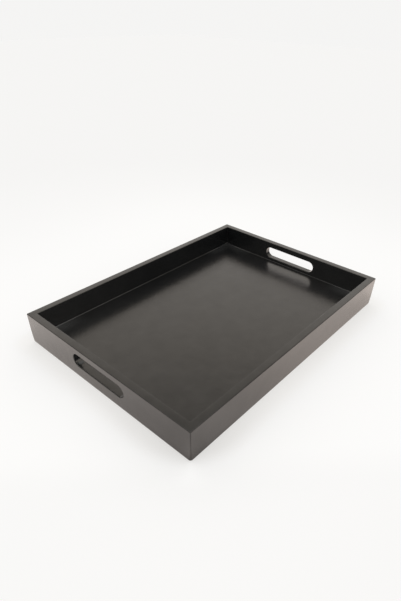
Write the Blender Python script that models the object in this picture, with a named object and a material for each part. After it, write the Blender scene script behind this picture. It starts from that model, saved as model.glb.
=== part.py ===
"""Serving tray with handles: four mitred rails round a bottom panel that sits in their grooves.

Metres, +Z up. The origin is on the table, under the middle of the tray. The long axis is X,
so the two rails with a handle slot stand at -X and +X.
"""

import math

import bmesh
import bpy
from mathutils import Vector

MM = 0.001

# Outer size of the tray
TRAY_LENGTH = 450 * MM
TRAY_WIDTH = 325 * MM
RAIL_HEIGHT = 50 * MM
RAIL_THICKNESS = 11 * MM

# Rounded edges of the rails
RIM_RADIUS = 1.5 * MM
CORNER_RADIUS = 1.5 * MM
FOOT_RADIUS = 3 * MM
INNER_FOOT_RADIUS = 0.8 * MM

# Mitred corners
MITRE_GAP = 0.3 * MM

# Bottom panel and the groove that holds it
UNDERSIDE_RECESS = 9 * MM
PANEL_THICKNESS = 5 * MM
PANEL_CHAMFER = 0.4 * MM
GROOVE_DEPTH = 5 * MM
PANEL_FACE_GAP = 0.3 * MM
PANEL_EDGE_GAP = 0.5 * MM

# Handle slots, one through each end rail
SLOT_LENGTH = 103 * MM
SLOT_TO_REAR = 1.5 * MM
SLOT_BELOW_RIM = 10 * MM
SLOT_ABOVE_FLOOR = 6 * MM
SLOT_EDGE_RADIUS = 1.2 * MM

# Splines glued across the mitres
SPLINE_THICKNESS = 3 * MM
SPLINE_WIDTH = 7 * MM
SPLINE_BELOW_RIM = 8 * MM
SPLINE_ABOVE_GROOVE = 4 * MM
SPLINE_GAP = 0.3 * MM
SPLINE_PLACE_SHARE = 0.6

# Brads driven through the long rails into the end rails, set below the surface and filled over
BRAD_LENGTH = 25 * MM
BRAD_DIAMETER = 1.2 * MM
BRAD_HEAD_DIAMETER = 2.2 * MM
BRAD_HEAD_THICKNESS = 0.8 * MM
BRAD_POINT_LENGTH = 1.8 * MM
BRAD_POINT_SHARE = 0.25
BRAD_SET_DEPTH = 1.2 * MM
BRAD_FROM_EDGE = 4 * MM
BRAD_GAP = 0.3 * MM

# How far a cutter runs past what it cuts
OVERRUN = 5 * MM

# Facets
EDGE_SEGMENTS = 8
SLOT_END_SEGMENTS = 30
BRAD_SIDES = 20
SMOOTH_ANGLE = math.radians(35)

QUARTER_TURN = math.radians(90)
HALF_TURN = math.radians(180)

PANEL_TOP = UNDERSIDE_RECESS + PANEL_THICKNESS
GROOVE_TOP = PANEL_TOP + PANEL_FACE_GAP
GROOVE_BOTTOM = UNDERSIDE_RECESS - PANEL_FACE_GAP


def clear_scene():
    for old in list(bpy.data.objects):
        bpy.data.objects.remove(old, do_unlink=True)


def make_material(name, colour, roughness, metallic=0.0):
    material = bpy.data.materials.new(name)
    material.use_nodes = True
    shader = material.node_tree.nodes["Principled BSDF"]
    shader.inputs["Base Color"].default_value = (*colour, 1.0)
    shader.inputs["Roughness"].default_value = roughness
    shader.inputs["Metallic"].default_value = metallic
    return material


def make_object(name, mesh):
    made = bpy.data.objects.new(name, mesh)
    bpy.context.scene.collection.objects.link(made)
    return made


def mesh_from(name, bm):
    bmesh.ops.recalc_face_normals(bm, faces=bm.faces)
    mesh = bpy.data.meshes.new(name)
    bm.to_mesh(mesh)
    bm.free()
    return mesh


def box_between(low, high):
    """A bmesh box from its lowest to its highest corner."""
    low, high = Vector(low), Vector(high)
    bm = bmesh.new()
    bmesh.ops.create_cube(bm, size=1)
    bmesh.ops.scale(bm, vec=high - low, verts=bm.verts)
    bmesh.ops.translate(bm, vec=(low + high) / 2, verts=bm.verts)
    return bm


def loft(loops):
    """A closed bmesh solid through loops of equally many points, flat across its first and last."""
    bm = bmesh.new()
    rings = [[bm.verts.new(point) for point in loop] for loop in loops]
    for ring, following in zip(rings, rings[1:]):
        for index, corner in enumerate(ring):
            previous = index - 1
            bm.faces.new((ring[previous], corner, following[index], following[previous]))
    bm.faces.new(rings[0])
    bm.faces.new(rings[-1])
    return bm


def turned(profile, sides):
    """A solid turned about Z from (radius, height) points that go from one end to the other."""
    loops = []
    for radius, height in profile:
        angles = [2 * HALF_TURN * side / sides for side in range(sides)]
        loops.append([(radius * math.cos(a), radius * math.sin(a), height) for a in angles])
    return loft(loops)


def cutter(name, bm, location=(0, 0, 0), rotation=(0, 0, 0)):
    """A helper solid that only cuts: it is never part of the tray."""
    made = make_object(name, mesh_from(name, bm))
    made.location = location
    made.rotation_euler = rotation
    made.hide_render = True
    made.display_type = "WIRE"
    return made


def boolean(target, other, operation):
    modifier = target.modifiers.new(other.name, "BOOLEAN")
    modifier.operation = operation
    modifier.solver = "EXACT"
    modifier.object = other


def settle(target, material, parent):
    """Applies the modifiers, shades round edges smooth, and gives the piece its finish."""
    bpy.context.view_layer.update()
    graph = bpy.context.evaluated_depsgraph_get()
    mesh = bpy.data.meshes.new_from_object(target.evaluated_get(graph))
    mesh.name = target.name
    target.modifiers.clear()
    target.data = mesh
    mesh.shade_smooth()
    mesh.set_sharp_from_angle(angle=SMOOTH_ANGLE)
    mesh.materials.clear()
    mesh.materials.append(material)
    target.parent = parent


def rail_blank(name, length):
    """One rail before its cuts, in its own frame: X along it, Y from its outer face inwards.

    The rounding at the ends of its outer face is what the mitre leaves as half a tray corner.
    """
    bm = box_between((-length / 2, 0, 0), (length / 2, RAIL_THICKNESS, RAIL_HEIGHT))
    weight = bm.edges.layers.float.new("bevel_weight_edge")
    widest = max(RIM_RADIUS, CORNER_RADIUS, FOOT_RADIUS, INNER_FOOT_RADIUS)
    for edge in bm.edges:
        middle = (edge.verts[0].co + edge.verts[1].co) / 2
        direction = edge.verts[0].co - edge.verts[1].co
        inner = middle.y > RAIL_THICKNESS / 2
        upright = abs(direction.z) > 0
        if upright:
            radius = 0 if inner else CORNER_RADIUS
        elif middle.z > RAIL_HEIGHT / 2:
            radius = RIM_RADIUS
        else:
            radius = INNER_FOOT_RADIUS if inner and abs(direction.x) > 0 else FOOT_RADIUS
        edge[weight] = radius / widest
    blank = make_object(name, mesh_from(name, bm))
    bevel = blank.modifiers.new("rounded_edges", "BEVEL")
    bevel.width = widest
    bevel.segments = EDGE_SEGMENTS
    bevel.limit_method = "WEIGHT"
    return blank


def mitre_wedge(length):
    """All that lies between a rail's two mitre planes, less half the gap at each."""
    setback = MITRE_GAP / 2 * math.sqrt(2)

    def corners(depth):
        half = length / 2 - depth - setback
        return (-half, depth), (half, depth)

    outer_left, outer_right = corners(-OVERRUN)
    inner_left, inner_right = corners(RAIL_THICKNESS + OVERRUN)
    outline = (outer_left, outer_right, inner_right, inner_left)
    heights = (-OVERRUN, RAIL_HEIGHT + OVERRUN)
    return loft([[(x, y, z) for x, y in outline] for z in heights])


def groove(length):
    """The panel's groove, which runs the whole length of the rail's inner face."""
    low = (-length / 2 - OVERRUN, RAIL_THICKNESS - GROOVE_DEPTH, GROOVE_BOTTOM)
    high = (length / 2 + OVERRUN, RAIL_THICKNESS + OVERRUN, GROOVE_TOP)
    return box_between(low, high)


def handle_slot(place):
    """A slot with full-radius ends, eased by a quarter round at both faces of the rail."""
    top = RAIL_HEIGHT - SLOT_BELOW_RIM
    bottom = PANEL_TOP + SLOT_ABOVE_FLOOR
    end_radius = (top - bottom) / 2
    centre_height = (top + bottom) / 2
    end_centre = SLOT_LENGTH / 2 - end_radius

    def outline(depth, growth):
        points = []
        for side in (1, -1):
            for step in range(SLOT_END_SEGMENTS + 1):
                angle = side * QUARTER_TURN - HALF_TURN * step / SLOT_END_SEGMENTS
                x = place + side * end_centre + (end_radius + growth) * math.cos(angle)
                z = centre_height + (end_radius + growth) * math.sin(angle)
                points.append((x, depth, z))
        return points

    easing = []
    for step in range(EDGE_SEGMENTS + 1):
        angle = QUARTER_TURN * step / EDGE_SEGMENTS
        growth = SLOT_EDGE_RADIUS * (1 - math.sin(angle))
        easing.append((SLOT_EDGE_RADIUS * (1 - math.cos(angle)), growth))
    outer = [(-OVERRUN, SLOT_EDGE_RADIUS)] + easing
    inner = [(RAIL_THICKNESS - depth, growth) for depth, growth in reversed(outer)]
    return loft([outline(depth, growth) for depth, growth in outer + inner])


def spline_solid(clearance):
    """A flat tongue upright across a mitre: X along its width, Y along its thickness."""
    half_width = SPLINE_WIDTH / 2 + clearance
    half_thickness = SPLINE_THICKNESS / 2 + clearance
    bottom = GROOVE_TOP + SPLINE_ABOVE_GROOVE - clearance
    top = RAIL_HEIGHT - SPLINE_BELOW_RIM + clearance
    return box_between((-half_width, -half_thickness, bottom), (half_width, half_thickness, top))


def brad_solid():
    """A brad with its head's top at the origin and its point at -Z."""
    radius = BRAD_DIAMETER / 2
    profile = (
        (BRAD_HEAD_DIAMETER / 2, 0),
        (BRAD_HEAD_DIAMETER / 2, -BRAD_HEAD_THICKNESS),
        (radius, -BRAD_HEAD_THICKNESS),
        (radius, -BRAD_LENGTH + BRAD_POINT_LENGTH),
        (radius * BRAD_POINT_SHARE, -BRAD_LENGTH),
    )
    return turned(profile, BRAD_SIDES)


def brad_bore():
    """The room that a brad takes in the wood, with its clearance all round."""
    head = BRAD_HEAD_DIAMETER / 2 + BRAD_GAP
    shank = BRAD_DIAMETER / 2 + BRAD_GAP
    profile = (
        (head, BRAD_GAP),
        (head, -BRAD_HEAD_THICKNESS - BRAD_GAP),
        (shank, -BRAD_HEAD_THICKNESS - BRAD_GAP),
        (shank, -BRAD_LENGTH - BRAD_GAP),
    )
    return turned(profile, BRAD_SIDES)


def build_rail(name, length, location, turn, corner_cutters, slot_place, material, parent):
    """A rail with its cuts. The slot's place is how far along the rail it is, or None for no slot."""
    rail = rail_blank(name, length)
    rail.location = location
    rail.rotation_euler = (0, 0, turn)
    for helper in corner_cutters:
        boolean(rail, helper, "DIFFERENCE")
    own = [(cutter(f"{name}_groove", groove(length)), "DIFFERENCE")]
    if slot_place is not None:
        own.append((cutter(f"{name}_slot", handle_slot(slot_place)), "DIFFERENCE"))
    own.append((cutter(f"{name}_mitres", mitre_wedge(length)), "INTERSECT"))
    for helper, operation in own:
        helper.location = rail.location
        helper.rotation_euler = rail.rotation_euler
        boolean(rail, helper, operation)
    settle(rail, material, parent)
    return rail


def build_panel(material, parent):
    margin = RAIL_THICKNESS - GROOVE_DEPTH + PANEL_EDGE_GAP
    half_length = TRAY_LENGTH / 2 - margin
    half_width = TRAY_WIDTH / 2 - margin
    bm = box_between((-half_length, -half_width, 0), (half_length, half_width, PANEL_THICKNESS))
    panel = make_object("bottom_panel", mesh_from("bottom_panel", bm))
    panel.location = (0, 0, UNDERSIDE_RECESS)
    chamfer = panel.modifiers.new("chamfer", "BEVEL")
    chamfer.width = PANEL_CHAMFER
    chamfer.segments = 1
    settle(panel, material, parent)


def corner_places():
    """Each tray corner's name and the signs of its X and Y."""
    for y_name, y_sign in (("front", -1), ("rear", 1)):
        for x_name, x_sign in (("left", -1), ("right", 1)):
            yield f"{y_name}_{x_name}", x_sign, y_sign


def build_spline(name, x_sign, y_sign, material, parent):
    """The spline and the slot that it needs, which both rails at the corner share."""
    inset = RAIL_THICKNESS * SPLINE_PLACE_SHARE
    location = (x_sign * (TRAY_LENGTH / 2 - inset), y_sign * (TRAY_WIDTH / 2 - inset), 0)
    turn = (0, 0, -x_sign * y_sign * HALF_TURN / 4)
    spline = make_object(f"{name}_spline", mesh_from(f"{name}_spline", spline_solid(0)))
    spline.location = location
    spline.rotation_euler = turn
    settle(spline, material, parent)
    return cutter(f"{name}_spline_slot", spline_solid(SPLINE_GAP), location, turn)


def build_brads(name, x_sign, y_sign, material, parent):
    """Two brads, near the top and the bottom of the corner, and the bores that they need."""
    x = x_sign * (TRAY_LENGTH / 2 - RAIL_THICKNESS / 2)
    y = y_sign * (TRAY_WIDTH / 2 - BRAD_SET_DEPTH)
    turn = (-y_sign * QUARTER_TURN, 0, 0)
    bores = []
    for level, z in (("upper", RAIL_HEIGHT - BRAD_FROM_EDGE), ("lower", BRAD_FROM_EDGE)):
        brad_name = f"{name}_{level}_brad"
        brad = make_object(brad_name, mesh_from(brad_name, brad_solid()))
        brad.location = (x, y, z)
        brad.rotation_euler = turn
        settle(brad, material, parent)
        bores.append(cutter(f"{brad_name}_bore", brad_bore(), (x, y, z), turn))
    return bores


def build_tray():
    clear_scene()
    lacquer = make_material("black_lacquer", (0.012, 0.011, 0.010), 0.28)
    panel_lacquer = make_material("black_lacquer_panel", (0.012, 0.011, 0.010), 0.24)
    plywood = make_material("birch_ply", (0.56, 0.40, 0.24), 0.65)
    steel = make_material("brad_steel", (0.55, 0.55, 0.54), 0.35, metallic=1.0)

    tray = bpy.data.objects.new("tray", None)
    bpy.context.scene.collection.objects.link(tray)

    corner_cutters = {}
    for name, x_sign, y_sign in corner_places():
        spline_slot = build_spline(name, x_sign, y_sign, plywood, tray)
        bores = build_brads(name, x_sign, y_sign, steel, tray)
        corner_cutters[name] = [spline_slot, *bores]

    half_length = TRAY_LENGTH / 2
    half_width = TRAY_WIDTH / 2
    rails = (
        ("front_rail", TRAY_LENGTH, (0, -half_width, 0), 0, ("front_left", "front_right")),
        ("rear_rail", TRAY_LENGTH, (0, half_width, 0), HALF_TURN, ("rear_left", "rear_right")),
        ("left_handle_end", TRAY_WIDTH, (-half_length, 0, 0), -QUARTER_TURN, ("front_left", "rear_left")),
        ("right_handle_end", TRAY_WIDTH, (half_length, 0, 0), QUARTER_TURN, ("front_right", "rear_right")),
    )
    slot_places = {"left_handle_end": -SLOT_TO_REAR, "right_handle_end": SLOT_TO_REAR}
    for name, length, location, turn, corners in rails:
        helpers = [helper for corner in corners for helper in corner_cutters[corner]]
        build_rail(name, length, location, turn, helpers, slot_places.get(name), lacquer, tray)
    build_panel(panel_lacquer, tray)


build_tray()
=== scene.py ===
"""Looks of the serving tray: black lacquered rails and panel, soft studio light and the camera.

Metres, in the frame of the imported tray: the long axis is X, and the tray stands on Z = 0.
"""

import math

import bmesh
import bpy
from mathutils import Matrix, Vector
from mathutils.noise import noise


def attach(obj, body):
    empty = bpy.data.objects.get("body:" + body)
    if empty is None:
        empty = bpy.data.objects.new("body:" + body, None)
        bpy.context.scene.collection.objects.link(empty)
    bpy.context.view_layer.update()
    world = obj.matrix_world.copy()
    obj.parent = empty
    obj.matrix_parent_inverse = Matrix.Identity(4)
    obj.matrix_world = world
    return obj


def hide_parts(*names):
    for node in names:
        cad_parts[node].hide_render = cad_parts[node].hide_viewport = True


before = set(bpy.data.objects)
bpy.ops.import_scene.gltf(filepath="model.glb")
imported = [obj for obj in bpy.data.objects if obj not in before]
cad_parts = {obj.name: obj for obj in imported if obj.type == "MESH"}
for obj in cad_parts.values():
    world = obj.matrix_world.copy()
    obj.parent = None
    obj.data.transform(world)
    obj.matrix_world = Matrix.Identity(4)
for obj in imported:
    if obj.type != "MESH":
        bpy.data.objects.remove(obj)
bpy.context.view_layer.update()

MM = 0.001

# The tray's sizes, as in the part's source, but with crisper edges, and corners worn at the foot
TRAY_LENGTH = 450 * MM
TRAY_WIDTH = 325 * MM
RAIL_HEIGHT = 50 * MM
RAIL_THICKNESS = 11 * MM
RIM_RADIUS = 1.15 * MM
INNER_RIM_RADIUS = 0.9 * MM
RIM_CROWN = 0.06 * MM
CORNER_RADIUS = 1.3 * MM
CORNER_WEAR = 2.6 * MM
CORNER_WEAR_HEIGHT = 26 * MM
FOOT_RADIUS = 2.6 * MM
INNER_FOOT_RADIUS = 0.8 * MM
PANEL_BOTTOM = 9 * MM
PANEL_TOP = 14 * MM
SLOT_LENGTH = 103 * MM
SLOT_TO_REAR = 1.5 * MM
SLOT_BOTTOM = 20 * MM
SLOT_TOP = 40 * MM
SLOT_EDGE_RADIUS = 1.2 * MM
HALF_TRAY = Vector((TRAY_LENGTH / 2, TRAY_WIDTH / 2, 0))

# Lacquer pooled in the inner corners
INNER_CORNER_RADIUS = 1.2 * MM
FILLET_HEIGHT = 0.85 * MM
FILLET_WIDTH = 1.9 * MM
FILLET_BITE = 0.3 * MM
POOL_GROWTH = 1.6
POOL_REACH = 40 * MM
POOL_STEPS = 6
POOL_SPREAD = 1.6

# Panel
PANEL_BITE = 0.5 * MM
PANEL_CELL = 5 * MM
PANEL_WAVE = 0.03 * MM
PANEL_WAVE_LENGTH = 70 * MM

MITRE_SEAM = 0.01 * MM
OVERRUN = 2 * MM
MERGE_DISTANCE = 1e-6

# Facets
QUARTER_STEPS = 8
CORNER_WEAR_STEPS = 8
CROWN_STEPS = 8
SLOT_END_STEPS = 32
RAIL_STATIONS = 12
SMOOTH_ANGLE = math.radians(35)
FLAT_FACE_WEIGHT = 100

QUARTER_TURN = math.pi / 2


def make_object(name, mesh):
    made = bpy.data.objects.new(name, mesh)
    bpy.context.scene.collection.objects.link(made)
    return made


def mesh_from(name, bm):
    bmesh.ops.recalc_face_normals(bm, faces=bm.faces)
    mesh = bpy.data.meshes.new(name)
    bm.to_mesh(mesh)
    bm.free()
    return mesh


def loft(rings, closed=False):
    """A bmesh through rings of equally many points, capped at both ends or joined end to end."""
    bm = bmesh.new()
    rows = [[bm.verts.new(point) for point in ring] for ring in rings]
    following_rows = rows[1:] + rows[:1] if closed else rows[1:]
    for row, following in zip(rows, following_rows):
        for index, corner in enumerate(row):
            bm.faces.new((row[index - 1], corner, following[index], following[index - 1]))
    if not closed:
        bm.faces.new(rows[0])
        bm.faces.new(rows[-1])
    bmesh.ops.remove_doubles(bm, verts=bm.verts, dist=MERGE_DISTANCE)
    return bm


def quarter():
    """Sine and cosine over a quarter turn."""
    for step in range(QUARTER_STEPS + 1):
        angle = QUARTER_TURN * step / QUARTER_STEPS
        yield math.sin(angle), math.cos(angle)


def corner_pivot(height):
    """Radius in plan of the outer corners, which are rounded more towards the foot."""
    fall = max(0, 1 - height / CORNER_WEAR_HEIGHT)
    return CORNER_RADIUS + CORNER_WEAR * fall * fall


def rail_section():
    """The rail's outline as (depth from the outer face, height, pivot of its corner arc)."""
    inner_pivot = RAIL_THICKNESS + INNER_CORNER_RADIUS
    points = []
    for sine, cosine in quarter():
        depth = FOOT_RADIUS * (1 - sine)
        height = FOOT_RADIUS * (1 - cosine)
        points.append((depth, height, corner_pivot(height)))
    for step in range(1, CORNER_WEAR_STEPS + 1):
        height = FOOT_RADIUS + (CORNER_WEAR_HEIGHT - FOOT_RADIUS) * step / CORNER_WEAR_STEPS
        points.append((0, height, corner_pivot(height)))
    rim = RAIL_HEIGHT - RIM_CROWN
    for sine, cosine in quarter():
        depth = RIM_RADIUS * (1 - cosine)
        points.append((depth, rim - RIM_RADIUS * (1 - sine), CORNER_RADIUS))
    for step in range(1, CROWN_STEPS):
        share = step / CROWN_STEPS
        depth = RIM_RADIUS + (RAIL_THICKNESS - RIM_RADIUS - INNER_RIM_RADIUS) * share
        pivot = CORNER_RADIUS + (inner_pivot - CORNER_RADIUS) * share
        points.append((depth, rim + RIM_CROWN * 4 * share * (1 - share), pivot))
    for sine, cosine in quarter():
        depth = RAIL_THICKNESS - INNER_RIM_RADIUS * (1 - sine)
        points.append((depth, rim - INNER_RIM_RADIUS * (1 - cosine), inner_pivot))
    for sine, cosine in quarter():
        depth = RAIL_THICKNESS - INNER_FOOT_RADIUS * (1 - cosine)
        points.append((depth, INNER_FOOT_RADIUS * (1 - sine), inner_pivot))
    return points


def corner_place(depth, pivot, angle):
    """Where a section point stands, from the tray's outer corner, at an angle round that corner."""
    radius = pivot - depth
    return pivot - radius * math.sin(angle), pivot - radius * math.cos(angle)


def rail_rings(length, section):
    """Rings along one rail, from mitre to mitre: X along it, Y from its outer face inwards."""
    half_steps = QUARTER_STEPS // 2
    angles = [QUARTER_TURN / 2 * step / half_steps for step in range(half_steps, -1, -1)]
    start = []
    for angle in angles:
        ring = []
        for depth, height, pivot in section:
            x, y = corner_place(depth, pivot, angle)
            ring.append((x - length / 2, y, height))
        start.append(ring)
    start[0] = [(x + MITRE_SEAM, y, z) for x, y, z in start[0]]
    end = [[(-x, y, z) for x, y, z in ring] for ring in reversed(start)]
    between = []
    for station in range(1, RAIL_STATIONS):
        share = station / RAIL_STATIONS
        between.append([
            (a[0] + (b[0] - a[0]) * share, a[1], a[2]) for a, b in zip(start[-1], end[0])
        ])
    return start + between + end


def slot_cutter(thickness, slot_place):
    """The handle slot with full-radius ends, eased by a quarter round at both faces."""
    end_radius = (SLOT_TOP - SLOT_BOTTOM) / 2
    middle = (SLOT_TOP + SLOT_BOTTOM) / 2
    end_centre = SLOT_LENGTH / 2 - end_radius

    def outline(depth, growth):
        points = []
        for side in (1, -1):
            for step in range(SLOT_END_STEPS + 1):
                angle = side * QUARTER_TURN - 2 * QUARTER_TURN * step / SLOT_END_STEPS
                x = slot_place + side * end_centre + (end_radius + growth) * math.cos(angle)
                points.append((x, depth, middle + (end_radius + growth) * math.sin(angle)))
        return points

    outer = [(-OVERRUN, SLOT_EDGE_RADIUS)]
    outer += [(SLOT_EDGE_RADIUS * (1 - c), SLOT_EDGE_RADIUS * (1 - s)) for s, c in quarter()]
    inner = [(thickness - depth, growth) for depth, growth in reversed(outer)]
    return loft([outline(depth, growth) for depth, growth in outer + inner])


def cut(target, cutter):
    modifier = target.modifiers.new("slot", "BOOLEAN")
    modifier.operation = "DIFFERENCE"
    modifier.solver = "EXACT"
    modifier.object = cutter
    bpy.context.view_layer.update()
    graph = bpy.context.evaluated_depsgraph_get()
    mesh = bpy.data.meshes.new_from_object(target.evaluated_get(graph))
    target.modifiers.clear()
    target.data = mesh
    bpy.data.objects.remove(cutter, do_unlink=True)


def shade(piece):
    """Round edges smooth, flats flat."""
    piece.data.shade_smooth()
    piece.data.set_sharp_from_angle(angle=SMOOTH_ANGLE)
    weighted = piece.modifiers.new("weighted_normals", "WEIGHTED_NORMAL")
    weighted.mode = "FACE_AREA"
    weighted.weight = FLAT_FACE_WEIGHT
    weighted.keep_sharp = True


def finish_piece(piece, material, slot, *nodes):
    piece.data.materials.clear()
    piece.data.materials.append(material)
    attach(piece, "root")
    if nodes:
        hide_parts(*nodes)


def build_rail(node, length, location, turn, slot_place, material):
    mesh = mesh_from(node + "_lacquered", loft(rail_rings(length, rail_section())))
    rail = make_object(node + "_lacquered", mesh)
    if slot_place is not None:
        cutter = mesh_from("slot_cutter", slot_cutter(RAIL_THICKNESS, slot_place))
        cut(rail, make_object("slot_cutter", cutter))
    rail.data.transform(Matrix.Translation(location) @ Matrix.Rotation(turn, 4, "Z"))
    shade(rail)
    finish_piece(rail, material, "rail_lacquer", node)


def bead_section(level, upwards, growth):
    """The bead's outline as (depth from the rail's outer face, height)."""
    width = FILLET_WIDTH * (1 + growth)
    height = FILLET_HEIGHT * (1 + growth)
    section = [(RAIL_THICKNESS - FILLET_BITE, level - upwards * FILLET_BITE)]
    section.append((RAIL_THICKNESS - FILLET_BITE, level + upwards * height))
    for sine, cosine in quarter():
        section.append((RAIL_THICKNESS + width * (1 - cosine), level + upwards * height * (1 - sine)))
    section.append((RAIL_THICKNESS + width, level - upwards * FILLET_BITE))
    return section


def bead_ring(level, upwards, angle, beyond):
    """One ring of the bead, at an angle round a corner or beyond the end of the corner's arc."""
    fall = 1 - beyond / POOL_REACH
    ring = []
    for depth, height in bead_section(level, upwards, POOL_GROWTH * fall * fall):
        out = max(0, depth - RAIL_THICKNESS)
        pivot = RAIL_THICKNESS + INNER_CORNER_RADIUS + out * (1 + POOL_SPREAD)
        x, y = corner_place(depth, pivot, angle)
        if angle < QUARTER_TURN / 2:
            x += beyond
        else:
            y += beyond
        ring.append((x, y, height))
    return ring


def bead_rings(level, upwards):
    """Closed rings all round the inside of the tray, where lacquer has pooled in each corner."""
    arc = [QUARTER_TURN * step / QUARTER_STEPS for step in range(QUARTER_STEPS + 1)]
    beyond = [POOL_REACH * step / POOL_STEPS for step in range(POOL_STEPS, 0, -1)]
    corner = [bead_ring(level, upwards, 0, reach) for reach in beyond]
    corner += [bead_ring(level, upwards, angle, 0) for angle in arc]
    corner += [bead_ring(level, upwards, QUARTER_TURN, reach) for reach in reversed(beyond)]
    rings = []
    for x_sign, y_sign in ((-1, -1), (1, -1), (1, 1), (-1, 1)):
        for ring in (corner if x_sign * y_sign < 0 else reversed(corner)):
            rings.append([
                (x_sign * (TRAY_LENGTH / 2 - x), y_sign * (TRAY_WIDTH / 2 - y), z) for x, y, z in ring
            ])
    return rings


def build_fillet(name, level, upwards, material, slot):
    """A bead of lacquer in the angle between the walls and the panel."""
    bead = make_object(name, mesh_from(name, loft(bead_rings(level, upwards), closed=True)))
    shade(bead)
    finish_piece(bead, material, slot)


def panel_faces(columns, rows):
    """Quads of the lower and the upper sheet, whose points follow each other, and of their border."""
    sheet = (columns + 1) * (rows + 1)

    def point(column, row):
        return row * (columns + 1) + column

    faces = []
    for row in range(rows):
        for column in range(columns):
            quad = (point(column, row), point(column + 1, row))
            quad += (point(column + 1, row + 1), point(column, row + 1))
            faces.append(tuple(reversed(quad)))
            faces.append(tuple(index + sheet for index in quad))
    border = [point(column, 0) for column in range(columns + 1)]
    border += [point(columns, row) for row in range(1, rows + 1)]
    border += [point(column, rows) for column in range(columns - 1, -1, -1)]
    border += [point(0, row) for row in range(rows - 1, 0, -1)]
    for a, b in zip(border, border[1:] + border[:1]):
        faces.append((a, b, b + sheet, a + sheet))
    return faces


def build_panel(material):
    """The bottom board, with the faint waves that a lacquered board has."""
    half_x = TRAY_LENGTH / 2 - RAIL_THICKNESS + PANEL_BITE
    half_y = TRAY_WIDTH / 2 - RAIL_THICKNESS + PANEL_BITE
    columns = round(2 * half_x / PANEL_CELL)
    rows = round(2 * half_y / PANEL_CELL)
    points = []
    for level in (PANEL_BOTTOM, PANEL_TOP):
        for row in range(rows + 1):
            for column in range(columns + 1):
                x = -half_x + 2 * half_x * column / columns
                y = -half_y + 2 * half_y * row / rows
                wave = noise(Vector((x, y, level)) / PANEL_WAVE_LENGTH) * PANEL_WAVE
                points.append((x, y, level + wave))
    mesh = bpy.data.meshes.new("panel_lacquered")
    mesh.from_pydata(points, [], panel_faces(columns, rows))
    panel = make_object("panel_lacquered", mesh)
    shade(panel)
    finish_piece(panel, material, "panel_lacquer", "bottom_panel")


class Nodes:
    """A short way to write a node tree."""

    def __init__(self, tree):
        self.tree = tree
        tree.nodes.clear()

    def add(self, kind, inputs=None, **settings):
        node = self.tree.nodes.new("ShaderNode" + kind)
        for key, value in settings.items():
            setattr(node, key, value)
        for key, value in (inputs or {}).items():
            if isinstance(value, bpy.types.NodeSocket):
                self.tree.links.new(value, node.inputs[key])
            else:
                node.inputs[key].default_value = value
        return node

    def math(self, operation, first, second=0.0):
        return self.add("Math", {0: first, 1: second}, operation=operation).outputs[0]

    def product(self, first, *others):
        for other in others:
            first = self.math("MULTIPLY", first, other)
        return first

    def span(self, value, low, high, to_low=0.0, to_high=1.0, smooth=False):
        """A value mapped from one range to another, clamped."""
        inputs = {"Value": value, "From Min": low, "From Max": high}
        inputs.update({"To Min": to_low, "To Max": to_high})
        kind = "SMOOTHSTEP" if smooth else "LINEAR"
        return self.add("MapRange", inputs, interpolation_type=kind).outputs["Result"]

    def smooth(self, value, *spans):
        return self.span(value, *spans, smooth=True)

    def mix(self, factor, first, second):
        """A mix of two colours."""
        node = self.add("Mix", {0: factor, 6: first, 7: second}, data_type="RGBA")
        return node.outputs[2]

    def between(self, factor, first, second):
        """A mix of two numbers."""
        return self.add("Mix", {0: factor, 2: first, 3: second}).outputs[0]

    def vector(self, operation, first, second=(0, 0, 0)):
        return self.add("VectorMath", {0: first, 1: second}, operation=operation).outputs["Vector"]

    def measure(self, operation, first, second=(0, 0, 0)):
        """A number got from one vector or two, such as a length, a distance or a dot product."""
        return self.add("VectorMath", {0: first, 1: second}, operation=operation).outputs["Value"]

    def parts(self, vector):
        return self.add("SeparateXYZ", {0: vector}).outputs

    def length_of_positive(self, vector):
        """How far a point lies outside a corner or an edge, given where it lies from both sides."""
        positive = self.vector("MAXIMUM", vector)
        return self.measure("LENGTH", self.vector("MULTIPLY", positive, (1, 1, 0)))

    def cloudy(self, place, scale, detail, roughness=0.5):
        inputs = {"Vector": place, "Scale": scale, "Detail": detail, "Roughness": roughness}
        return self.add("TexNoise", inputs).outputs["Fac"]

    def stretched(self, place, scale):
        return self.add("Mapping", {"Vector": place, "Scale": scale}).outputs[0]

    def bump(self, height, distance, below=None):
        inputs = {"Height": height, "Distance": distance, "Strength": 1}
        if below is not None:
            inputs["Normal"] = below
        return self.add("Bump", inputs).outputs[0]

    def in_gloss(self, path):
        """1 where a reflection or clear glass shows the point, else 0."""
        return self.math("MAXIMUM", path.outputs["Is Glossy Ray"], path.outputs["Is Transmission Ray"])


def new_material(name):
    material = bpy.data.materials.new(name)
    material.use_nodes = True
    return material, Nodes(material.node_tree)


# Lacquer, as (roughness, its variation, base colour, height of the swell)
RAIL_FINISH = (0.22, 0.03, 0.0112, 0.10 * MM)
BOARD_FINISH = (0.24, 0.03, 0.0095, 0.16 * MM)
LACQUER_TINTS = ((1.15, 1.20, 1.22), (0.76, 0.81, 0.85))
LACQUER_IOR = 1.8
SHEEN_TINTS = ((0.59, 0.59, 0.59, 1), (0.69, 0.69, 0.69, 1))
PEEL_DEPTH = 0.004 * MM
GRAIN_DEPTH = 0.010 * MM
GRAIN_STRETCH = (1, 24, 24)

# Noises in the lacquer, as (scale, detail, roughness)
GRAIN = (26, 5, 0.6)
CLOUD = (14, 3, 0.55)
PEEL = (520, 2, 0.5)
SMEAR = (4, 3, 0.5)
SHEEN = (55, 2, 0.5)
SCUFFS = (60, 6, 0.65)
SWELL = (75, 2, 0.45)

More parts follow.
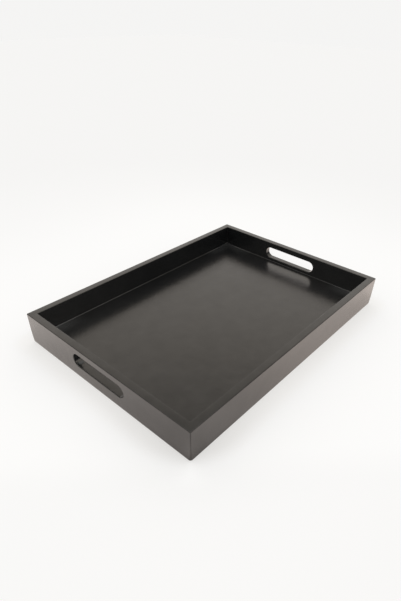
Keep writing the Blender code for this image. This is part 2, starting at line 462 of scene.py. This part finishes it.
# Spans of a noise, as (low, high) or (low, high, at low, at high)
NOISE_RANGE = (0.3, 0.7)
TONE_RANGE = (0.12, 0.42)
SCUFF_RANGE = (0.42, 0.62)
PAINTED_CORNER_LIGHT_RANGE = (0.25, 0.65, 0.6, 1.0)
CLOUD_SHARE = 0.6

# Edges where the lacquer is rubbed thin, and painted light in the board's corners: a lighter patch that
# stands in for light bounced there
RUBBED_COLOUR = (0.0165, 0.0125, 0.0100, 1)
RUBBED_ROUGHNESS = 0.28
RUBBED_FROM, RUBBED_FULL = 0.15, 0.9
PAINTED_CORNER_LIGHT_COLOUR = (0.052, 0.053, 0.053, 1)
PAINTED_CORNER_LIGHT_WIDTH = 26 * MM
PAINTED_CORNER_LIGHT_REACH = 75 * MM


def rubbed_edges(nodes, place):
    """How far a point of a rail lies round one of its long edges: 0 on the flats, 1 on the round."""
    parts = nodes.parts(nodes.vector("ABSOLUTE", place))
    height = parts["Z"]
    from_end = nodes.math("SUBTRACT", TRAY_LENGTH / 2, parts["X"])
    from_side = nodes.math("SUBTRACT", TRAY_WIDTH / 2, parts["Y"])
    depth = nodes.math("MINIMUM", from_end, from_side)
    from_inside = nodes.math("SUBTRACT", RAIL_THICKNESS, depth)
    below_rim = nodes.math("SUBTRACT", RAIL_HEIGHT - RIM_CROWN, height)
    edges = (
        (depth, below_rim, RIM_RADIUS),
        (from_inside, below_rim, INNER_RIM_RADIUS),
        (depth, height, FOOT_RADIUS),
        (from_end, from_side, CORNER_RADIUS),
    )
    rubbed = 0.0
    for first, second, radius in edges:
        near = nodes.math("LESS_THAN", nodes.math("MAXIMUM", first, second), radius)
        ridge = radius * (1 - math.sqrt(0.5))
        inwards = nodes.math("MINIMUM", first, second)
        rise = nodes.smooth(inwards, RUBBED_FROM * ridge, RUBBED_FULL * ridge)
        rubbed = nodes.math("MAXIMUM", nodes.product(near, rise), rubbed)
    return rubbed


def painted_corner_light(nodes, place):
    """Where light is painted into the corners of the board as a lighter patch: 1 in the angle, 0 out on
    the board.
    """
    inside = (TRAY_LENGTH / 2 - RAIL_THICKNESS, TRAY_WIDTH / 2 - RAIL_THICKNESS, 0)
    gap = nodes.parts(nodes.vector("SUBTRACT", inside, nodes.vector("ABSOLUTE", place)))
    near = nodes.math("MINIMUM", gap["X"], gap["Y"])
    far = nodes.math("MAXIMUM", gap["X"], gap["Y"])
    return nodes.product(nodes.smooth(near, 0, PAINTED_CORNER_LIGHT_WIDTH, 1, 0),
                         nodes.smooth(far, PAINTED_CORNER_LIGHT_REACH / 3, PAINTED_CORNER_LIGHT_REACH, 1, 0))


def lacquer(name, grain_turn, finish, edges=False):
    """Black lacquer over close-grained wood, which shows faintly through it as long low ridges."""
    roughness, variation, base, unevenness = finish
    material, nodes = new_material(name)
    place = nodes.add("TexCoord").outputs["Object"]
    along = nodes.add("Mapping", {"Vector": place, "Rotation": (0, 0, grain_turn)}).outputs[0]
    stretched = nodes.stretched(along, GRAIN_STRETCH)
    grain = nodes.cloudy(stretched, *GRAIN)
    cloud = nodes.cloudy(place, *CLOUD)
    smear = nodes.cloudy(stretched, *SMEAR)

    tone = nodes.span(nodes.product(grain, cloud), *TONE_RANGE)
    thin, thick = [tuple(base * part for part in tint) + (1,) for tint in LACQUER_TINTS]
    colour = nodes.mix(tone, thick, thin)
    gloss = nodes.math("ADD", nodes.product(cloud, CLOUD_SHARE), nodes.product(smear, 1 - CLOUD_SHARE))
    gloss = nodes.span(gloss, *NOISE_RANGE, roughness - variation, roughness + variation)
    if edges:
        scuffs = nodes.span(nodes.cloudy(place, *SCUFFS), *SCUFF_RANGE)
        worn = nodes.product(rubbed_edges(nodes, place), scuffs)
        colour = nodes.mix(worn, colour, RUBBED_COLOUR)
        gloss = nodes.between(worn, gloss, RUBBED_ROUGHNESS)
    else:
        # Painted light: the board's colour is made lighter in its corners, standing in for light
        # bounced there
        corner_light_paint = nodes.product(painted_corner_light(nodes, place), nodes.span(cloud, *PAINTED_CORNER_LIGHT_RANGE))
        colour = nodes.mix(corner_light_paint, colour, PAINTED_CORNER_LIGHT_COLOUR)

    swell = nodes.bump(nodes.cloudy(place, *SWELL), unevenness)
    peel = nodes.bump(nodes.cloudy(place, *PEEL), PEEL_DEPTH, swell)
    sheen = nodes.span(nodes.cloudy(place, *SHEEN), *NOISE_RANGE)
    shader = nodes.add("BsdfPrincipled", {
        "Base Color": colour, "Roughness": gloss, "IOR": LACQUER_IOR,
        "Specular Tint": nodes.mix(sheen, *SHEEN_TINTS),
        "Normal": nodes.bump(grain, GRAIN_DEPTH, peel),
    })
    nodes.add("OutputMaterial", {"Surface": shader.outputs[0]})
    return material


VENEER = 0.6 * MM
VENEER_JOINT = (0.28 * MM, 0.32 * MM)
FIBRE_STRETCH = (1, 1, 0.08)
FIBRES = (900, 4)
FIBRE_DEPTH = 0.03 * MM
LIGHT_BIRCH = ((0.50, 0.34, 0.19, 1), (0.66, 0.49, 0.31, 1))
DARK_BIRCH = ((0.36, 0.22, 0.11, 1), (0.47, 0.31, 0.17, 1))
BIRCH_ROUGHNESS = (0.55, 0.75)


def plywood():
    """Thin veneers of birch, turned one against the next."""
    material, nodes = new_material("spline_birch")
    place = nodes.add("TexCoord").outputs["Object"]
    parts = nodes.parts(place)
    lengthways, sideways = [nodes.math("ABSOLUTE", parts[axis]) for axis in ("X", "Y")]
    across = nodes.math("ABSOLUTE", nodes.math("SUBTRACT", lengthways, sideways))
    layer = nodes.span(nodes.math("PINGPONG", across, VENEER), *VENEER_JOINT)
    grain = nodes.cloudy(nodes.stretched(place, FIBRE_STRETCH), *FIBRES)
    light = nodes.mix(grain, *LIGHT_BIRCH)
    dark = nodes.mix(grain, *DARK_BIRCH)
    shader = nodes.add("BsdfPrincipled", {
        "Base Color": nodes.mix(layer, light, dark),
        "Roughness": nodes.span(grain, *NOISE_RANGE, *BIRCH_ROUGHNESS),
        "Normal": nodes.bump(grain, FIBRE_DEPTH),
    })
    nodes.add("OutputMaterial", {"Surface": shader.outputs[0]})
    return material


WIRE_STRETCH = (1, 0.05, 1)
WIRE_LINES = (9000, 2)
WIRE_LINE_DEPTH = 0.004 * MM
WIRE_COLOURS = ((0.42, 0.42, 0.41, 1), (0.60, 0.59, 0.57, 1))
WIRE_ROUGHNESS = (0.24, 0.40)


def steel():
    """Bright drawn wire with fine lines along it."""
    material, nodes = new_material("brad_wire")
    place = nodes.add("TexCoord").outputs["Object"]
    lines = nodes.cloudy(nodes.stretched(place, WIRE_STRETCH), *WIRE_LINES)
    shader = nodes.add("BsdfPrincipled", {
        "Base Color": nodes.mix(lines, *WIRE_COLOURS), "Metallic": 1.0,
        "Roughness": nodes.span(lines, *NOISE_RANGE, *WIRE_ROUGHNESS),
        "Normal": nodes.bump(lines, WIRE_LINE_DEPTH),
    })
    nodes.add("OutputMaterial", {"Surface": shader.outputs[0]})
    return material


# Camera, solved from the tray's straight edges in the photograph
CAMERA_PLACE = Vector((-0.445916, -0.376621, 0.410856))
CAMERA_TARGET = Vector((-0.026138, -0.017673, 0.0))
CAMERA_ROLL = 0.026518
FOCAL_PIXELS = 439.788399
CENTRE_PIXELS = (211.317453, 332.306313)
IMAGE_WIDTH, IMAGE_HEIGHT = 401, 601
SENSOR = 36.0
CLIP_START = 0.01


def build_camera():
    back = (CAMERA_PLACE - CAMERA_TARGET).normalized()
    level = Vector((0, 0, 1)).cross(back).normalized()
    upright = back.cross(level)
    cosine, sine = math.cos(CAMERA_ROLL), math.sin(CAMERA_ROLL)
    right = cosine * level + sine * upright
    top = -sine * level + cosine * upright
    matrix = Matrix((right, top, back)).transposed().to_4x4()
    matrix.translation = CAMERA_PLACE
    data = bpy.data.cameras.new("camera")
    data.sensor_width = SENSOR
    data.lens = FOCAL_PIXELS * SENSOR / IMAGE_HEIGHT
    data.clip_start = CLIP_START
    data.shift_x = (IMAGE_WIDTH / 2 - CENTRE_PIXELS[0]) / IMAGE_HEIGHT
    data.shift_y = (CENTRE_PIXELS[1] - IMAGE_HEIGHT / 2) / IMAGE_HEIGHT
    camera = make_object("camera", data)
    camera.matrix_world = matrix
    bpy.context.scene.camera = camera


# Light of the room by the sine of its elevation, as gloss shows it
ROOM_LEVELS = ((0.0, 1.04), (0.345, 1.10), (0.385, 1.31), (0.42, 1.10), (0.47, 1.05), (0.51, 1.10),
               (0.56, 1.10), (0.60, 1.03), (0.643, 0.93), (0.682, 0.82), (0.731, 0.70), (0.762, 0.61),
               (0.85, 0.64))
ROOM_TOP_LEVEL = 1.4

# Fixed directions in the room, which is dark in front, where the photograph was taken from
DARK_FRONT = (CAMERA_PLACE - CAMERA_TARGET).normalized()
BRIGHT_SIDE = Vector((0.743, 0.669, 0))
WINDOW = Vector((0.391, -0.412, 0.823))
CEILING = Vector((-0.352, 0.382, 0.855))

# Spans of the dot product with them, of the height or of X, as (low, high, at low, at high)
DARK_FRONT_LEVELS = (0.74, 0.96, 1.0, 0.35)
BRIGHT_SIDE_END = (0.10, 0.55, 1, 0)
BEHIND_END = (-0.32, -0.04, 1, 0)
BEHIND_FROM = (0.40, 0.50)
DIM_SIDE_TOP = (0.55, 0.80, 1, 0)
DIM_SIDE_LEVEL = 0.08
WINDOW_REACH = (0.72, 0.88)
WINDOW_END = (0.49, 0.59)
WINDOW_GAIN = 1.2
CEILING_REACH = (0.75, 0.90)
CEILING_GAIN = 0.6

# Plain light on everything that isn't a reflection
SOFT_LEVELS = (0.0, 1.0, 0.8, 1.12)
SOFT_FRONT_LEVELS = (0.2, 1.0, 1.0, 0.8)
SOFT_COLOUR = (1.0, 0.99, 0.975, 1)

LOW_COLOURS = ((1.06, 1.0, 0.935, 1), (1.108, 1.0, 0.872, 1))
LOW_COLOURS_SPAN = (0.45, 0.62)
HIGH_COLOUR = (1.0, 1.0, 0.965, 1)
HIGH_COLOUR_SPAN = (0.78, 0.90)
BACKGROUND_COLOUR = (0.913, 0.909, 0.900, 1)


def room_ramp(nodes, height):
    """The room's level at a height, from the list of levels."""
    ramp = nodes.add("ValToRGB", {0: height})
    stops = ramp.color_ramp.elements
    while len(stops) > 1:
        stops.remove(stops[-1])
    for index, (sine, level) in enumerate(ROOM_LEVELS):
        stop = stops.new(sine) if index else stops[0]
        stop.position = sine
        stop.color = (*[level / ROOM_TOP_LEVEL] * 3, 1)
    return nodes.product(ramp.outputs[0], ROOM_TOP_LEVEL)


def gloss_room(nodes, direction, front):
    """How bright the room is in reflections, with its dim front and sides, window and ceiling."""
    parts = nodes.parts(direction)
    height = parts["Z"]
    side, beyond, overhead = [
        nodes.measure("DOT_PRODUCT", direction, way) for way in (BRIGHT_SIDE, WINDOW, CEILING)
    ]
    behind = nodes.product(nodes.smooth(side, *BEHIND_END), nodes.smooth(height, *BEHIND_FROM))
    beside = nodes.math("SUBTRACT", nodes.smooth(side, *BRIGHT_SIDE_END), behind)
    dimness = nodes.product(beside, nodes.smooth(height, *DIM_SIDE_TOP))
    window = nodes.product(nodes.smooth(beyond, *WINDOW_REACH),
                           nodes.smooth(parts["X"], *WINDOW_END, WINDOW_GAIN, 0))
    ceiling = nodes.smooth(overhead, *CEILING_REACH, 0, CEILING_GAIN)
    return nodes.product(
        room_ramp(nodes, height), nodes.smooth(front, *DARK_FRONT_LEVELS),
        nodes.span(dimness, 0, 1, 1, DIM_SIDE_LEVEL),
        nodes.math("ADD", nodes.math("MAXIMUM", window, ceiling), 1.0))


def build_world():
    """A soft white room. Reflections show it brightest low down, and dimmer overhead and in front."""
    world = bpy.data.worlds.new("studio")
    bpy.context.scene.world = world
    world.use_nodes = True
    nodes = Nodes(world.node_tree)
    direction = nodes.add("TexCoord").outputs["Generated"]
    height = nodes.parts(direction)["Z"]
    front = nodes.measure("DOT_PRODUCT", direction, DARK_FRONT)
    soft = nodes.product(nodes.span(height, *SOFT_LEVELS), nodes.span(front, *SOFT_FRONT_LEVELS))
    path = nodes.add("LightPath")
    shown = nodes.in_gloss(path)
    strength = nodes.between(shown, soft, gloss_room(nodes, direction, front))
    warm = nodes.mix(nodes.span(height, *LOW_COLOURS_SPAN), *LOW_COLOURS)
    low = nodes.mix(shown, SOFT_COLOUR, warm)
    high = nodes.mix(shown, SOFT_COLOUR, HIGH_COLOUR)
    tint = nodes.mix(nodes.span(height, *HIGH_COLOUR_SPAN), low, high)
    room = nodes.add("Background", {"Color": tint, "Strength": strength}).outputs[0]
    seen = nodes.add("Background", {"Color": BACKGROUND_COLOUR, "Strength": 1.0}).outputs[0]
    mixed = nodes.add("MixShader", {0: path.outputs["Is Camera Ray"], 1: room, 2: seen})
    nodes.add("OutputWorld", {"Surface": mixed.outputs[0]})


TABLE_HALF = 6.0
TABLE_DROP = 0.05 * MM
TABLE_COLOUR = (0.97, 0.966, 0.958, 1)
SEEN_GLOW_SHARE = 0.58
GLOSS_GLOW_SHARE = 0.95

# The table as the eye sees it, with the tray's shadow painted into its glow: spans of distances, as
# (near, far, at near, at far)
SHADOW_ROUND = 60 * MM
LIT_SPAN = (0.009, 0.037)
PAINTED_SHADOW_LEVELS = (0.0, 0.17, 0.885, 1.0)
LIT_LEVELS = (0.10, 0.45, 1.036, 1.0)
FAR_LEVELS = (0.3, 1.0, 1.01, 0.93)
BEFORE_CORNER = (-0.03, 0.05)
BEFORE_CORNER_FADE = (0.25, 0.90, 1.0, 0.0)
BEFORE_CORNER_LEVEL = 0.955
TIP_SPAN = (-0.004, 0.014)
TIP_LEVELS = (0.0, 0.045, 0.08, 0.0)
PAINTED_SHADOW_TINT = (1.0, 0.985, 0.962, 1)
LIT_TINT = (1.0, 0.998, 0.992, 1)

# The table as gloss shows it, with painted shade: levels by the distance from the front corner and from
# the tray's foot
GLOSS_CORNER_LEVELS = (0.02, 0.28, 0.85, 1.13)
GLOSS_FOOT_LEVELS = (0.004, 0.050, 0.92, 1.21)
FOOT_LINE = (0.002, 0.007)
FOOT_LINE_LEVELS = (0.05, 0.10, 0.87, 1.0)

# Painted light and shade in reflections: levels by X or by Y, and round single spots, each as (x, y)
# and the span of the distance to it
GLOSS_RIGHT_LEVELS = (-0.15, 0.12, 1.0, 1.07)
PAST_RIGHT_LEVELS = (0.17, 0.26, 1.0, 1.16)
PAST_REAR_LEVELS = (0.10, 0.18, 1.0, 1.2)
LEFT_OF_TRAY = (0.003, 0.008)
PAINTED_CORNER_REFLECTION = ((-0.238, -0.176), (0.0, 0.045, 0.5, 0.0))
PAINTED_REFLECTION_SPOTS = (
    ((-0.254, -0.191), (0.008, 0.026, 0.35, 1.0)),
    ((-0.160, -0.198), (0.0, 0.055, 1.13, 1.0)),
    ((-0.207, -0.168), (0.0, 0.024, 0.82, 1.0)),
    ((-0.208, -0.177), (0.0, 0.016, 1.18, 1.0)),
)
GLOSS_TINTS = ((1.08, 0.980, 0.915, 1), (1.108, 0.975, 0.890, 1))
GLOSS_TINTS_SPAN = (-0.22, 0.02)


class TablePlace:
    """Where a point of the table lies from the tray."""

    def __init__(self, nodes):
        self.nodes = nodes
        self.point = nodes.add("TexCoord").outputs["Object"]
        self.turned = nodes.vector("MULTIPLY", self.point, (-1, -1, 0))
        self.beside = nodes.vector("SUBTRACT", nodes.vector("ABSOLUTE", self.point), HALF_TRAY)
        self.past_front = nodes.parts(nodes.vector("SUBTRACT", self.turned, HALF_TRAY))
        self.from_corner = self.distance_to(-TRAY_LENGTH / 2, -TRAY_WIDTH / 2)

    def distance_to(self, x, y):
        return self.nodes.measure("DISTANCE", self.point, (x, y, 0))


def seen_table_painted_shadow(nodes, at):
    """The table's glow under the camera's own rays, with the tray's shadow painted into it: darker
    along the foot and before the front corner, lighter at the corner's tip, dimmer far out. Also where
    it is out of that painted shadow.
    """
    rounding = Vector((SHADOW_ROUND, SHADOW_ROUND, 0))
    before = nodes.vector("SUBTRACT", at.turned, HALF_TRAY - rounding)
    rounded = nodes.math("SUBTRACT", nodes.length_of_positive(before), SHADOW_ROUND)
    away = nodes.math("MAXIMUM", nodes.length_of_positive(at.beside), rounded)
    # Painted shadow: the glow is lower in a band along the tray's foot, rounded off at the front
    # corner, and warmer there
    out_of_painted_shadow = nodes.smooth(away, *LIT_SPAN)
    ahead = nodes.measure("DOT_PRODUCT", at.turned, (1, 1, 0))
    corner_ahead = (TRAY_LENGTH + TRAY_WIDTH) / 2
    dimmed = nodes.product(nodes.smooth(ahead, *[corner_ahead + end for end in BEFORE_CORNER]),
                           nodes.smooth(at.from_corner, *BEFORE_CORNER_FADE))
    lit_glow = nodes.product(nodes.smooth(away, *LIT_LEVELS),
                             nodes.span(dimmed, 0.0, 1.0, 1.0, BEFORE_CORNER_LEVEL))
    glow = nodes.between(out_of_painted_shadow, nodes.smooth(at.from_corner, *PAINTED_SHADOW_LEVELS), lit_glow)
    past_both = nodes.math("MINIMUM", at.past_front["X"], at.past_front["Y"])
    # Painted light at the tip of the front corner
    painted_tip_light = nodes.product(nodes.smooth(past_both, *TIP_SPAN), nodes.smooth(at.from_corner, *TIP_LEVELS))
    far = nodes.smooth(nodes.measure("LENGTH", at.point), *FAR_LEVELS)
    return nodes.product(glow, far, nodes.math("ADD", painted_tip_light, 1.0)), out_of_painted_shadow


def gloss_table_painted_light(nodes, at):
    """The table's glow in reflections, with painted shade by the tray's foot and towards the front
    corner, and painted light and shade past the tray and in round spots.
    """
    parts = nodes.parts(at.point)
    beside = nodes.parts(at.beside)
    from_tray = nodes.math("MAXIMUM", beside["X"], beside["Y"])
    place, span = PAINTED_CORNER_REFLECTION
    painted_corner_reflection = nodes.product(nodes.smooth(at.distance_to(*place), *span),
                                nodes.smooth(at.past_front["X"], *LEFT_OF_TRAY))
    foot_line = nodes.span(from_tray, *FOOT_LINE, nodes.smooth(at.from_corner, *FOOT_LINE_LEVELS), 1.0)
    past_rear = nodes.smooth(parts["Y"], *PAST_REAR_LEVELS)
    past_right = nodes.smooth(parts["X"], *PAST_RIGHT_LEVELS)
    spots = [nodes.smooth(at.distance_to(*place), *span) for place, span in PAINTED_REFLECTION_SPOTS]
    # Painted reflections: shade by the foot and the front corner, and light past the tray and in spots,
    # all only in what gloss shows of the table
    return nodes.product(
        nodes.smooth(at.from_corner, *GLOSS_CORNER_LEVELS), nodes.math("ADD", painted_corner_reflection, 1.0), *spots,
        nodes.smooth(parts["X"], *GLOSS_RIGHT_LEVELS), nodes.smooth(from_tray, *GLOSS_FOOT_LEVELS),
        foot_line, nodes.math("MAXIMUM", past_rear, past_right))


def table_material():
    """White, with a glow that differs between the camera and gloss, and clear from below; the glow has
    the tray's shadow and light round it painted in.
    """
    material, nodes = new_material("table_white_painted_shadow")
    at = TablePlace(nodes)
    seen_glow_painted_shadow, out_of_painted_shadow = seen_table_painted_shadow(nodes, at)
    path = nodes.add("LightPath")
    shown = nodes.in_gloss(path)
    glow = nodes.between(shown, seen_glow_painted_shadow, gloss_table_painted_light(nodes, at))
    gloss_tint = nodes.mix(nodes.smooth(nodes.parts(at.point)["X"], *GLOSS_TINTS_SPAN), *GLOSS_TINTS)
    tint = nodes.mix(shown, nodes.mix(out_of_painted_shadow, PAINTED_SHADOW_TINT, LIT_TINT), gloss_tint)
    emission = nodes.add("Emission", {"Color": tint, "Strength": glow}).outputs[0]
    diffuse = nodes.add("BsdfDiffuse", {"Color": TABLE_COLOUR}).outputs[0]
    share = nodes.math("MAXIMUM", nodes.product(path.outputs["Is Camera Ray"], SEEN_GLOW_SHARE),
                       nodes.product(shown, GLOSS_GLOW_SHARE))
    mixed = nodes.add("MixShader", {0: share, 1: diffuse, 2: emission}).outputs[0]
    below = nodes.add("NewGeometry").outputs["Backfacing"]
    clear = nodes.add("BsdfTransparent").outputs[0]
    whole = nodes.add("MixShader", {0: below, 1: mixed, 2: clear}).outputs[0]
    nodes.add("OutputMaterial", {"Surface": whole})
    return material


def build_table():
    """A wide white table that keeps the tray's soft shadow, deepened and shaped by shadow painted into
    its glow.
    """
    mesh = bpy.data.meshes.new("table")
    corners = [(-TABLE_HALF, -TABLE_HALF), (TABLE_HALF, -TABLE_HALF)]
    corners += [(TABLE_HALF, TABLE_HALF), (-TABLE_HALF, TABLE_HALF)]
    mesh.from_pydata([(x, y, -TABLE_DROP) for x, y in corners], [], [(0, 1, 2, 3)])
    table = make_object("table", mesh)
    mesh.materials.append(table_material())


def build_tray():
    along_x = lacquer("rail_lacquer_x", 0, RAIL_FINISH, edges=True)
    along_y = lacquer("rail_lacquer_y", QUARTER_TURN, RAIL_FINISH, edges=True)
    board = lacquer("panel_lacquer", 0, BOARD_FINISH)
    half_length = TRAY_LENGTH / 2
    half_width = TRAY_WIDTH / 2
    rails = (
        ("front_rail", TRAY_LENGTH, (0, -half_width, 0), 0, None, along_x),
        ("rear_rail", TRAY_LENGTH, (0, half_width, 0), 2 * QUARTER_TURN, None, along_x),
        ("left_handle_end", TRAY_WIDTH, (-half_length, 0, 0), -QUARTER_TURN, -SLOT_TO_REAR, along_y),
        ("right_handle_end", TRAY_WIDTH, (half_length, 0, 0), QUARTER_TURN, SLOT_TO_REAR, along_y),
    )
    for rail in rails:
        build_rail(*rail)
    build_panel(board)
    build_fillet("floor_bead", PANEL_TOP, 1, board, "panel_lacquer")
    build_fillet("underside_bead", PANEL_BOTTOM, -1, board, "panel_lacquer")
    splines = plywood()
    brads = steel()
    for name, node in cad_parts.items():
        if name.endswith("_spline"):
            node.material_slots[0].material = splines
        elif name.endswith("_brad"):
            node.material_slots[0].material = brads


bpy.context.scene.view_settings.view_transform = "Standard"
build_camera()
build_world()
build_table()
build_tray()

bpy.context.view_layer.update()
